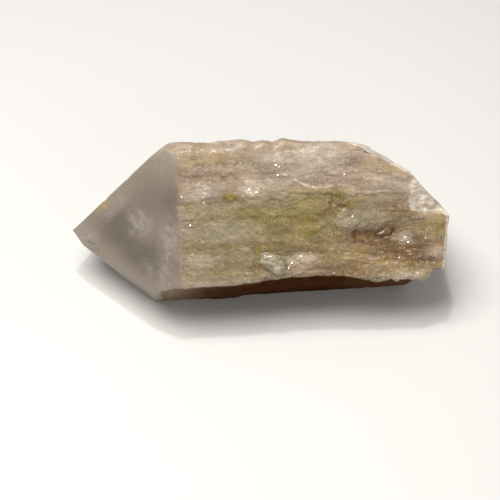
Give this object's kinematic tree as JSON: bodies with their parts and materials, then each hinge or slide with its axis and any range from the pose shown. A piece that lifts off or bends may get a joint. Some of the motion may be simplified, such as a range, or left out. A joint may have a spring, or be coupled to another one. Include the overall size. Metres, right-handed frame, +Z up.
{
  "type": "candle quartz crystal",
  "caption": "Milky quartz point lying on a long side, its sides crowded with low parallel crystals, with a smooth faceted tip and a broken end.",
  "frame": {"origin": "middle of the box around the crystal, at the level of the face that it rests on", "axes": "+X along the crystal from its tip to its broken end, +Y away from the viewer, +Z up, square to the face that it rests on"},
  "size_m": [0.1314, 0.057, 0.0667],
  "materials": {
    "milky_quartz": "satin on the point, rough and glinting on the sides, with brown and yellow-green iron stain"
  },
  "bodies": {
    "root": {"quartz_crystal": "milky_quartz"}
  },
  "joints": []
}
